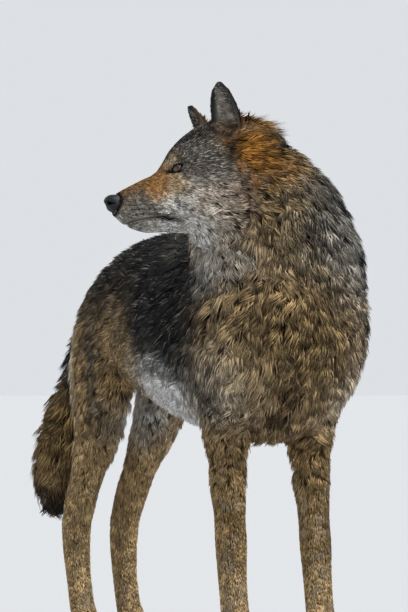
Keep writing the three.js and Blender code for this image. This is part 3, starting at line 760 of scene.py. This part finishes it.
def markings(points, facing):
    """The hair's colour, its tips' colour, and the share of tufts that have such tips."""
    found = blend_of(PATCHES, points)
    hair, tip, share = found[:, :3], found[:, 3:6], found[:, 6]

    def lay(name, strength):
        strength = np.clip(strength, 0, 1)[:, None]
        for part, darker in ((hair, 1), (tip, 0.8)):
            part += (colour(FUR[name]) * darker - part) * strength

    for where, place, reach, name, strength in MARKS:
        apart = np.sum(((local(where, points) - place) / reach) ** 2, axis=1)
        lay(name, strength * np.exp(-apart))
    where = local(BODY, points)
    under = np.maximum(-np.sign(where[:, 0]) * facing[:, 0], -facing[:, 2])
    low = (1 - smoothstep(400, 500, where[:, 2])) * smoothstep(330, 430, where[:, 2])
    behind_arms = smoothstep(-200, -100, where[:, 1]) * (1 - smoothstep(310, 345, where[:, 1]))
    lay("white", 0.75 * low * smoothstep(0.5, 0.9, under) * behind_arms)
    where = local(HEAD, points)
    on_head = (where[:, 0] > 60) & (np.abs(where[:, 1]) < 75) & (where[:, 2] > -120)
    for side in SIDES.values():
        height, sideways, _ = ear_place(points, side)
        ear = ear_share(points, side)
        opened = ear_opened(facing, side)
        inside = smoothstep(0.25, 0.6, opened) * ear
        lay("brown", ear * 0.75)
        lay("grey", inside * 0.85)
        half_width = EAR_WIDTH / 2 * np.maximum(1 - np.clip(height, 0, 1) ** 2.6, 0.08)
        lay("coal", ear * smoothstep(0.76, 0.96, np.abs(sideways) / half_width) * 0.85)
        lay("coal", inside * smoothstep(0.5, 0.85, side * sideways / half_width) * 0.8)
        lay("rufous", inside * (1 - smoothstep(0.1, 0.35, height)) * 0.7)
        lay("coal", ear * smoothstep(0.8, 1.0, height) * 0.6)
        along, up, out = lid_place(where, side)
        ring = opening(along, up)
        inner = smoothstep(6, -8, along)
        dark = 1 - smoothstep(1.15 + 0.35 * inner, 1.5 + 0.9 * inner, ring)
        lay("lid", dark * (out > 0) * (np.hypot(along, up) < 19))
    # Whiskers grow from dark spots in rows along the side of the muzzle.
    for row in range(WHISKER_ROWS):
        for column in range(WHISKERS_IN_ROW):
            spot = WHISKERS + WHISKER_APART * [column + row / 2, 0, row]
            off = (where - spot)[:, [0, 2]] / WHISKER_SPOT
            lay("coal", 0.9 * np.exp(-np.sum(off**2, axis=1)) * on_head)
    lay("lid", 1 - smoothstep(1.1, 1.5, pad_ratio(where)))
    lay("lid", lip_share(where, 1.9) * 0.9 * (where[:, 0] < LIP_END) * on_head)
    return np.clip(hair, 0.004, 1), np.clip(tip, 0.003, 1), share


def paint(mesh, name, colours):
    """Keeps a linear colour at each of a mesh's points."""
    layer = mesh.color_attributes.new(name, "FLOAT_COLOR", "POINT")
    whole = np.ones((len(colours), 4), np.float32)
    whole[:, :3] = colours
    layer.data.foreach_set("color", whole.ravel())


def node(tree, kind, links=(), **settings):
    """Adds a node with its settings. Links are its inputs' names and what goes into them."""
    made = tree.nodes.new(kind)
    for key, value in settings.items():
        if key in made.inputs:
            made.inputs[key].default_value = value
        else:
            setattr(made, key, value)
    for name, source in dict(links).items():
        tree.links.new(source, made.inputs[name])
    return made


def new_material(name, **settings):
    """A material, its node tree and its shader with some of the shader's own values set."""
    made = bpy.data.materials.new(name)
    made.use_nodes = True
    shader = made.node_tree.nodes["Principled BSDF"]
    for key, value in settings.items():
        shader.inputs[key.replace("_", " ")].default_value = value
    return made, made.node_tree, shader


def specked(tree, shader, painted, size, low, high, **settings):
    """Gives the shader a colour that is darker and lighter in specks so many metres across."""
    where_at = node(tree, "ShaderNodeTexCoord")
    links = {"Vector": where_at.outputs["Object"]}
    specks = node(tree, "ShaderNodeTexNoise", links, Scale=1 / size, **settings)
    ends = {"To Min": low, "To Max": high}
    shade = node(tree, "ShaderNodeMapRange", {"Value": specks.outputs["Fac"]}, **ends)
    links = {0: painted, "Scale": shade.outputs["Result"]}
    toned = node(tree, "ShaderNodeVectorMath", links, operation="SCALE")
    tree.links.new(toned.outputs["Vector"], shader.inputs["Base Color"])
    return specks.outputs["Fac"]


# Hide under short, dense wool: it scatters light softly and never shines.
wool, tree, shader = new_material(
    "short_wool_on_hide", Roughness=0.85, IOR=1.45, Specular_IOR_Level=0.2
)
painted = node(tree, "ShaderNodeVertexColor", layer_name="coat").outputs["Color"]
# Wool stands in locks about 1.5 mm across.
locks = specked(tree, shader, painted, 1.5 * MM, 0.6, 1.3, Detail=2, Roughness=0.6)
raised = node(tree, "ShaderNodeBump", {"Height": locks}, Strength=0.5, Distance=0.8 * MM)
tree.links.new(raised.outputs["Normal"], shader.inputs["Normal"])
paint(skin.data, "coat", markings(hide.points, hide.normals())[0])
skin.data.materials.append(wool)

# ---- Coat ----
# Guard hairs stick together in flat, pointed locks that lie back over one another like thatch.
# Each tuft here is a thin solid blade, and neighbouring blades draw together at their tips.

TUFTS = 240000
PIECE_TUFTS = 32000
FLATNESS = 0.3
SINK = 0.6 * MM
EAR_ROWS = 17  # rows of pale hair, one above another, inside an ear
EAR_HAIR = 2.4  # how much longer the hair inside an ear is than that on its back
LEADERS = 0.05  # share of the tufts that lead a lock
WIDEST_AT = 0.62  # share of a blade's length at which it is widest
FLOOR_GAP = 0.3 * MM
PATCH = 0.003  # how much of the unrolled skin each tuft takes
# region, the ends of its own bone, and about how thick the body is round it in mm
REGIONS = [
    ("head", (HEAD, (230, 0, -45)), (HEAD, (30, 0, 30)), 75),
    ("neck", (HEAD, (-20, 0, 0)), (BODY, (0, -240, 660)), 105),
    ("trunk", (BODY, (0, -300, 580)), (BODY, (0, 270, 600)), 165),
    ("tail", (BODY, (-4, 330, 600)), (BODY, (-45, 424, 255)), 42),
]
for leg, top, foot, thickness in (
    ("fore_leg", (76, -250, 400), (76, -330, 15), 50),
    ("hind_leg", (88, 265, 470), (74, 310, 15), 70),
):
    for side_name, side in SIDES.items():
        top_at = (BODY, np.multiply(top, [side, 1, 1]))
        foot_at = (BODY, np.multiply(foot, [side, 1, 1]))
        REGIONS.append((f"{leg}_{side_name}", top_at, foot_at, thickness))
# where, place, reach, how much further the boldest locks stand out: nape, withers, tail, fringes
STANDING = [
    (HEAD, (0, 20, 104), 50, 36),
    (HEAD, (30, 50, 92), 30, 20),
    (BODY, (-30, -140, 800), 60, 30),
    (BODY, (-52, -205, 872), 50, 36),
    (BODY, (40, -220, 800), 60, 22),
    (BODY, (110, -180, 700), 80, 32),
    (BODY, (140, -130, 600), 80, 12),
    (BODY, (-8, 355, 540), 60, 12),
    (BODY, (-30, 390, 400), 60, 16),
    (BODY, (-45, 424, 255), 50, 16),
    (BODY, (-90, 320, 500), 50, 10),
    (BODY, (-76, 165, 365), 45, 16),
    (BODY, (76, 165, 365), 45, 16),
    (BODY, (0, -350, 385), 60, 12),
    (BODY, (0, 0, 385), 80, 10),
]
random = np.random.default_rng(7)


def standing(points):
    """How much further than the coat's depth the boldest locks stand out, in metres."""
    extra = np.zeros(len(points))
    for where, place, reach, height in STANDING:
        apart = np.sum((points - placed(where, place)) ** 2, axis=1) / (reach * MM) ** 2
        extra = np.maximum(extra, height * MM * np.exp(-apart))
    return extra


def over_bare(points, pad, lids):
    """True where a point lies over an eye's opening, the nose pad or the parting of the lips."""
    where = local(HEAD, points)
    over = (pad_ratio(where) < pad) | (lip_share(where, 1.6) > 0.5)
    for side in SIDES.values():
        along, up, out = lid_place(where, side)
        over |= (opening(along, up) < lids) & (out > 0)
    return over


def roots_on(surface):
    """Places for tufts all over the skin, as far apart as the coat is thick there."""
    corners = surface.points[surface.triangles]
    middle = corners.mean(axis=1)
    edges = corners[:, 1:] - corners[:, :1]
    area = np.linalg.norm(np.cross(edges[:, 0], edges[:, 1]), axis=1) / 2
    wanted = area / coat_at(middle)[4] ** 2
    facing = surface.normals()[surface.triangles].mean(axis=1)
    sole = (middle[:, 2] < 7 * MM) & (facing[:, 2] < -0.3)
    wanted[sole | over_bare(middle, 1, 1.25)] = 0
    wanted *= TUFTS / wanted.sum()
    chosen = np.searchsorted(np.cumsum(wanted), np.arange(TUFTS) + random.random())
    chosen = np.minimum(chosen, len(wanted) - 1)
    first, second = random.random((2, len(chosen), 1))
    over = first + second > 1
    first, second = np.where(over, 1 - first, first), np.where(over, 1 - second, second)
    a, b, c = (corners[chosen, i] for i in range(3))
    return a + (b - a) * first + (c - a) * second, unit(facing[chosen])


def on_skin(tree, points, height):
    """The nearest places on the skin, lifted straight off it."""
    found = [tree.find_nearest(Vector(point)) for point in points]
    places = np.array([hit[0] for hit in found])
    normals = np.array([hit[1] for hit in found])
    return places + normals * height[:, None]


def region_place(points, start, end):
    """How near some points are to a bone, their angle round it and their share along it."""
    start, end = placed(*start), placed(*end)
    bone = end - start
    along = (points - start) @ bone / (bone @ bone)
    off = points - start - np.clip(along, 0, 1)[:, None] * bone
    sideways = unit(np.cross(bone, [0.3, 0.2, 1]))
    other = unit(np.cross(bone, sideways))
    angle = np.arctan2(off @ other, off @ sideways) / math.tau + 0.5
    return np.linalg.norm(off, axis=1), angle, along


roots, facing = roots_on(hide)
way, depth, length, width, _ = coat_at(roots)
hair, tip_colour, tipped = markings(roots, facing)
on_ear = np.clip(ears_share(roots), 0, 1)
depth = np.maximum(depth, 0.9 * MM)
count = len(roots)
bushy = smoothstep(3 * MM, 14 * MM, depth)
length = length * (1 - 0.2 * bushy) * random.uniform(0.7, 1.2, count)

# Locks: each tuft belongs to the nearest leader, turns with it and leans towards its tip.
leader = np.flatnonzero(random.random(count) < LEADERS)
leaders = KDTree(len(leader))
for number, index in enumerate(leader):
    leaders.insert(roots[index], number)
leaders.balance()
led_by = leader[[leaders.find(root)[1] for root in roots]]
lock_turn = random.normal(0, 1, count)[led_by]
lock_tone = random.normal(0, 1, count)[led_by]
lock_rise = random.random(count)[led_by]
lock_chance = random.random(count)[led_by]
tuft_tone = random.normal(0, 1, count)
pale_row = np.zeros(count)
swing = (0.14 + 0.12 * bushy) * random.normal(0, 1, count) + 0.42 * bushy * lock_turn
way = unit(way - facing * np.sum(way * facing, axis=1, keepdims=True))
way = unit(way + np.cross(facing, way) * swing[:, None])
for side in SIDES.values():
    inner = (ear_opened(facing, side) > 0) & (ear_share(roots, side) > 0.5)
    over_ear = unit(np.cross(EAR_TIP - EAR_BASE, EAR_FACING)) * [-1, -side, -1] @ AXES[HEAD][1]
    way[inner] = unit(over_ear + 0.35 * way[inner])
    length[inner] *= EAR_HAIR
    rows = np.sin(ear_place(roots, side)[0] * EAR_ROWS * math.tau + 0.8 * tuft_tone)
    pale_row[inner] = smoothstep(0.2, 0.8, rows[inner])
tips = roots + way * length[:, None]
pull = (0.15 + 0.5 * bushy)[:, None] * random.uniform(0.4, 1.3, (count, 1))
tips += (tips[led_by] - tips) * pull

surface_tree = BVHTree.FromPolygons(hide.points.tolist(), hide.triangles.tolist())
lift = random.uniform(0.85, 1.1, count) + 0.45 * bushy * (lock_rise - 0.45)
bold = standing(roots) * (0.2 + 0.8 * lock_rise**3) * random.uniform(0.5, 1, count)
middles = roots + (tips - roots) * WIDEST_AT
middles = on_skin(surface_tree, middles, depth * 0.82 * lift + bold * 0.35)
tips = on_skin(surface_tree, tips, depth * lift + bold)

clear = ~(over_bare(middles, 1.05, 1.3) | over_bare(tips, 1.05, 1.3))
roots = roots - facing * SINK

axis = unit(tips - roots)
across = unit(np.cross(facing, axis))
rise = unit(np.cross(axis, across))
half = (width * (1 - 0.3 * bushy) * random.uniform(0.5, 0.95, count) / 2)[:, None]
thick = half * 2 * FLATNESS
points = np.stack(
    [roots, middles - across * half, middles + across * half, middles + rise * thick, tips], axis=1
)
points[:, :, 2] = np.maximum(points[:, :, 2], FLOOR_GAP)
BLADE = np.array([(0, 2, 1), (0, 3, 2), (0, 1, 3), (1, 2, 4), (2, 3, 4), (3, 1, 4)])
CORNERS = 5
tone = np.exp(0.3 * tuft_tone + 0.28 * lock_tone)[:, None]
# Dark tips keep company: a lock's own chance counts for more than each tuft's.
TOGETHER = 0.6
dark_tip = (TOGETHER * lock_chance + (1 - TOGETHER) * random.random(count) < tipped)[:, None]
# Scattered pale tufts show through the black of the back and of the brow.
sooty = 1 - smoothstep(0.03, 0.1, hair.mean(axis=1))
pale_one = random.random(count) < 0.16
salted = (1 - bushy) * smoothstep(0.6, 0.85, tipped) * (1 - on_ear)
fleck = (pale_one * (sooty * bushy * 0.25 + salted * 0.25))[:, None]
dark_tip &= ~(pale_one & (salted > 0.3))[:, None]
paler = (hair + (colour(FUR["cream"]) - hair) * fleck) * np.clip(tone, 0.5, 1.9)
paler = paler + (colour(FUR["silver"]) - paler) * (0.5 * pale_row * on_ear)[:, None]
band = np.where(dark_tip, paler * (0.5 + 0.55 * bushy[:, None]) + tip_colour * 0.3, paler * 1.1)
end = np.where(dark_tip, tip_colour, paler * 1.2)
# Painted shade: each tuft is darker at its root, where the coat shades it deep among the other tufts.
tuft_colours = np.clip(np.stack([paler * 0.45] + [band] * 3 + [end], axis=1), 0.002, 0.85)
# across and along each tuft's patch of the unrolled skin, for the five points of a blade
PATCH_AT = np.array([(0.5, 0), (0, 0.6), (1, 0.6), (0.5, 0.6), (0.5, 1)])

# Guard hair is dry and only faintly waxy: it has a weak, broad gleam.
guard, tree, shader = new_material(
    "guard_hair_in_locks", Roughness=0.62, IOR=1.55, Specular_IOR_Level=0.08
)
painted = node(tree, "ShaderNodeVertexColor", layer_name="coat").outputs["Color"]
# Single hairs are too fine to show, so the streaks are strands of about 1 mm.
specked(tree, shader, painted, 1.0 * MM, 0.7, 1.25, Detail=1)

nearness = []
unrolled = []
for _, start, end, thickness in REGIONS:
    away, angle, along = region_place(roots, start, end)
    nearness.append(away / (thickness * MM))
    unrolled.append(np.stack([angle, along], axis=1))
region_of = np.argmin(nearness, axis=0)
region_of[on_ear > 0.5] = 0
for number, (name, *_) in enumerate(REGIONS):
    members = np.flatnonzero((region_of == number) & clear)
    flat = unrolled[number][members]
    low, high = flat.min(axis=0), flat.max(axis=0)
    flat = (flat - low) / (high - low) * (1 - 2 * PATCH) + PATCH
    order = np.argsort(flat[:, 0], kind="stable")
    for part, chosen in enumerate(np.array_split(order, math.ceil(len(order) / PIECE_TUFTS)), 1):
        tufts = members[chosen]
        faces = (BLADE[None] + CORNERS * np.arange(len(tufts))[:, None, None]).reshape(-1, 3)
        mesh = make_mesh(f"coat_{name}_{part}", points[tufts].reshape(-1, 3), faces)
        paint(mesh, "coat", tuft_colours[tufts].reshape(-1, 3))
        patch = flat[chosen][:, None] + (PATCH_AT - 0.5) * PATCH
        corner_uv = patch.reshape(-1, 2)[faces.ravel()]
        mesh.uv_layers.new(name="OFBake").data.foreach_set("uv", corner_uv.astype(np.float32).ravel())
        mesh.shade_smooth()
        mesh.materials.append(guard)
        piece = add_object(mesh.name, mesh)
        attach(piece, "root")

# ---- Eyes ----
# Glass eyes: a ball with a raised clear front over an amber iris, a round black pupil and a
# dark rim. Each is set behind its lids and turned outwards as a wolf's are.

IRIS = 7.2  # mm, half across
PUPIL = 2.7
BALL_EDGE = 12  # mm from the pupil's middle, further than any of the ball that shows
BULGE = 0.7
EYE_OUT = np.array([0.45, 0.88, 0.1])

# Blown glass, clear over paint: a small sharp highlight and no haze.
glass, tree, shader = new_material(
    "glass_eye", Roughness=0.18, IOR=1.5, Coat_Weight=0.12, Coat_Roughness=0.02
)
from_pupil = node(tree, "ShaderNodeAttribute", attribute_name="from_pupil")
stops = [
    (0, "060403"), (PUPIL, "060403"), (PUPIL + 0.5, "3a240c"), (4.4, "6b4418"), (5.9, "4a2d10"),
    (IRIS - 0.4, "241508"), (IRIS + 0.2, "090706"), (BALL_EDGE, "120c0a"),
]
bands = node(tree, "ShaderNodeValToRGB", {"Fac": from_pupil.outputs["Fac"]})
elements = bands.color_ramp.elements
while len(elements) < len(stops):
    elements.new(0.5)
for element, (place, text) in zip(elements, stops):
    element.position = place / BALL_EDGE
    element.color = (*colour(text), 1)
# The fibres of the iris are drawn as flecks of 0.7 mm, as finer ones wouldn't show.
specked(tree, shader, bands.outputs["Color"], 0.7 * MM, 0.7, 1.3)


def turned(profile, sectors):
    """Rings round a Z axis from pairs of radius and height, and the faces between them."""
    angle = np.arange(sectors) / sectors * math.tau
    circle = np.stack([np.cos(angle), np.sin(angle)], 1)
    rings = [np.insert(circle * radius, 2, height, axis=1) for radius, height in profile]
    here = np.arange(sectors)
    after = np.roll(here, -1)
    ring_faces = np.stack([here, after, after + sectors, here + sectors], 1)
    faces = [ring_faces + sectors * i for i in range(len(profile) - 1)]
    return np.concatenate(rings), np.concatenate(faces)


def keep_value(mesh, name, values):
    """Keeps a number at each of a mesh's points, for its material to read."""
    layer = mesh.attributes.new(name, "FLOAT", "POINT")
    layer.data.foreach_set("value", values.astype(np.float32))


for side_name, side in SIDES.items():
    tilt = np.linspace(0.02, math.pi - 0.02, 48)
    bulge = BULGE * (1 - smoothstep(0, 0.62, tilt))
    radius = EYE_RADIUS - 0.1 + bulge
    ball, faces = turned(np.stack([radius * np.sin(tilt), radius * np.cos(tilt)], 1), 64)
    out = unit(EYE_OUT * [1, side, 1])
    level = unit(np.cross([0, 0, 1], out))
    ball_rows = np.stack([level, np.cross(out, level), out])
    ball_points = placed(HEAD, ball @ ball_rows + EYE_AT * [1, side, 1])
    mesh = make_mesh(f"eyeball_{side_name}", ball_points, faces[:, ::-1])
    apart = np.hypot(ball[:, 0], ball[:, 1]) / BALL_EDGE + (ball[:, 2] < 0)
    keep_value(mesh, "from_pupil", apart.clip(0, 1))
    mesh.shade_smooth()
    mesh.materials.append(glass)
    eyeball = add_object(mesh.name, mesh)
    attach(eyeball, "root")
    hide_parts(f"eye_{side_name}")

# ---- Nose ----
# A bare, black, pebbled pad with two comma-shaped nostrils and a groove down the middle. On a
# mounted animal it is waxed, so it looks slightly damp.

NOSE_LEAN = 0.42  # the pad's foot lies further back than its top
NOSTRIL = np.array([12.5, 8.6, 0])
NOSTRIL_DEPTH = 4.2
MOTTLE = 1 / 180  # metres, or about 5.5 mm
GROOVE_DEPTH = 1.3
PAD_SHINE = 0.35


def two_toned(tree, size, first, second):
    """A colour that wanders between two, in patches so many metres across."""
    where_at = node(tree, "ShaderNodeTexCoord")
    links = {"Vector": where_at.outputs["Object"]}
    patches = node(tree, "ShaderNodeTexNoise", links, Scale=1 / size)
    made = node(tree, "ShaderNodeValToRGB", {"Fac": patches.outputs["Fac"]})
    for element, text in zip(made.color_ramp.elements, (first, second)):
        element.color = (*colour(text), 1)
    return made.outputs["Color"]


# Bare black skin under a thin coat of wax: a soft gleam that the pebbles break up.
leather, tree, shader = new_material("waxed_nose_leather", Roughness=0.45, IOR=1.5)
where_at = node(tree, "ShaderNodeTexCoord")
# The pebbles are about 0.9 mm across.
pebbles = node(
    tree, "ShaderNodeTexVoronoi", {"Vector": where_at.outputs["Object"]}, Scale=1 / (0.9 * MM),
)
raised = node(
    tree, "ShaderNodeBump", {"Height": pebbles.outputs["Distance"]},
    Strength=0.6, Distance=0.35 * MM, invert=True,
)
tint = two_toned(tree, MOTTLE, "0a0b0e", "17191e")
# Painted shade: the pad's colour and its gleam are darkened inside the nostrils, where light hardly
# reaches.
outside = node(tree, "ShaderNodeAttribute", attribute_name="outside_nostril")
links = {0: tint, "Scale": outside.outputs["Fac"]}
toned = node(tree, "ShaderNodeVectorMath", links, operation="SCALE")
tree.links.new(toned.outputs["Vector"], shader.inputs["Base Color"])
tree.links.new(outside.outputs["Fac"], shader.inputs["Specular IOR Level"])
tree.links.new(raised.outputs["Normal"], shader.inputs["Normal"])

tilt = np.linspace(0.01, math.pi - 0.01, 90)
pad, faces = turned(np.stack([np.sin(tilt), np.cos(tilt)], 1), 128)
pad = np.sign(pad) * np.abs(pad) ** [0.8, 0.8, 0.7]
pad = pad * NOSE_HALF
front = smoothstep(0, 8, pad[:, 0])
gleam_and_nostril_shade = np.full(len(pad), PAD_SHINE)
for side in SIDES.values():
    off = (pad - NOSTRIL * [1, side, 1]) / [30, 4.2, 3.8]
    slit = (pad - (NOSTRIL + [-3, 4.5, -2.4]) * [1, side, 1]) / [30, 6.5, 1.8]
    hole = np.exp(-np.sum(off**2, axis=1)) + 0.7 * np.exp(-np.sum(slit**2, axis=1))
    pad[:, 0] -= NOSTRIL_DEPTH * np.minimum(hole, 1) * front
    # Painted shade in the nostrils: their colour and gleam fall nearly to nothing.
    gleam_and_nostril_shade *= 1 - 0.96 * smoothstep(0.3, 0.7, hole) * front
groove = np.exp(-((pad[:, 1] / 0.8) ** 2)) * front * (pad[:, 2] < 5)
pad[:, 0] -= GROOVE_DEPTH * groove
pad[:, 0] += NOSE_LEAN * np.minimum(pad[:, 2], 4) * front
mesh = make_mesh("nose_pad", placed(HEAD, pad + NOSE_AT), faces)
keep_value(mesh, "outside_nostril", gleam_and_nostril_shade)
mesh.shade_smooth()
mesh.materials.append(leather)
nose = add_object("nose_pad", mesh)
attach(nose, "root")
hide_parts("nose")

# ---- Claws ----
# Horn claws, dark and blunt from walking. Each is left in the skin of its toe when an animal is
# mounted, and curves down from the toe's end.

# Worn horn: smooth, with a dull polish.
horn, tree, shader = new_material("horn_claw", Roughness=0.35, IOR=1.54)
# The horn is browner and blacker in patches of about 1.2 mm.
tint = two_toned(tree, 1.2 * MM, "1b1714", "4a4038")
tree.links.new(tint, shader.inputs["Base Color"])
claw_names = [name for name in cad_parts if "claw" in name]
claw_set = bmesh.new()
for name in claw_names:
    claw_set.from_mesh(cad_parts[name].data)
bmesh.ops.remove_doubles(claw_set, verts=claw_set.verts, dist=1e-6)
claw_mesh = bpy.data.meshes.new("claws")
claw_set.to_mesh(claw_mesh)
claw_set.free()
claws = add_object("claws", claw_mesh)
with_modifier(claws, "SUBSURF", levels=2, render_levels=2)
claws.data.materials.clear()
claws.data.materials.append(horn)
claws.data.shade_smooth()
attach(claws, "root")
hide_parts(*claw_names)

# ---- Floor, light and camera ----
# A wide pale floor under an even pale surround, lit as a museum case is: one broad soft light
# high to the side and a fill from the front.

# Matt emulsion on a screed: even and without any gleam.
floor_paint, tree, shader = new_material("matt_floor_paint", Roughness=0.9, IOR=1.45)
# The roller leaves a mottle of about 25 mm.
tint = two_toned(tree, 25 * MM, "b9babc", "bebfc0")
tree.links.new(tint, shader.inputs["Base Color"])
FLOOR_HALF = 300  # metres, so that its edge never shows
corners = np.array([(-1, -1, 0), (1, -1, 0), (1, 1, 0), (-1, 1, 0)]) * FLOOR_HALF
floor = add_object("floor", make_mesh("floor", corners, np.array([(0, 1, 2, 3)])))
floor.data.materials.append(floor_paint)

world = bpy.data.worlds.new("pale_surround")
world.use_nodes = True
background = world.node_tree.nodes["Background"]
background.inputs["Color"].default_value = (*colour("eef1f5"), 1)
background.inputs["Strength"].default_value = 0.85
bpy.context.scene.world = world
bpy.context.scene.view_settings.view_transform = "Standard"

AHEAD = np.array([0.5, 0.866, 0])
RIGHT = np.array([0.866, -0.5, 0])
UP = np.array([0, 0, 1])


def aimed(name, data, backwards):
    """A light or camera that looks away from a direction."""
    made = add_object(name, data)
    made.rotation_mode = "QUATERNION"
    made.rotation_quaternion = Vector(backwards).to_track_quat("Z", "Y")
    return made


for name, towards, strength, spread in (
    ("key", RIGHT * 0.8 + UP * 0.9 - AHEAD * 0.3, 3.2, 10),
    ("fill", -RIGHT * 0.8 + UP * 0.35 - AHEAD * 0.9, 0.5, 40),
):
    sun = bpy.data.lights.new(name, "SUN")
    sun.energy = strength
    sun.angle = math.radians(spread)
    aimed(name, sun, towards)

DISTANCE = 12000
LOOK_UP = math.atan2(139, DISTANCE)
ahead = AHEAD * math.cos(LOOK_UP) + UP * math.sin(LOOK_UP)
lens = bpy.data.cameras.new("camera")
lens.lens = 410.7
lens.sensor_width = 36
lens.clip_end = 1000
camera = aimed("camera", lens, -ahead)
camera.location = placed(BODY, RIGHT * 11.8 + UP * 589 - ahead * DISTANCE)
bpy.context.scene.camera = camera
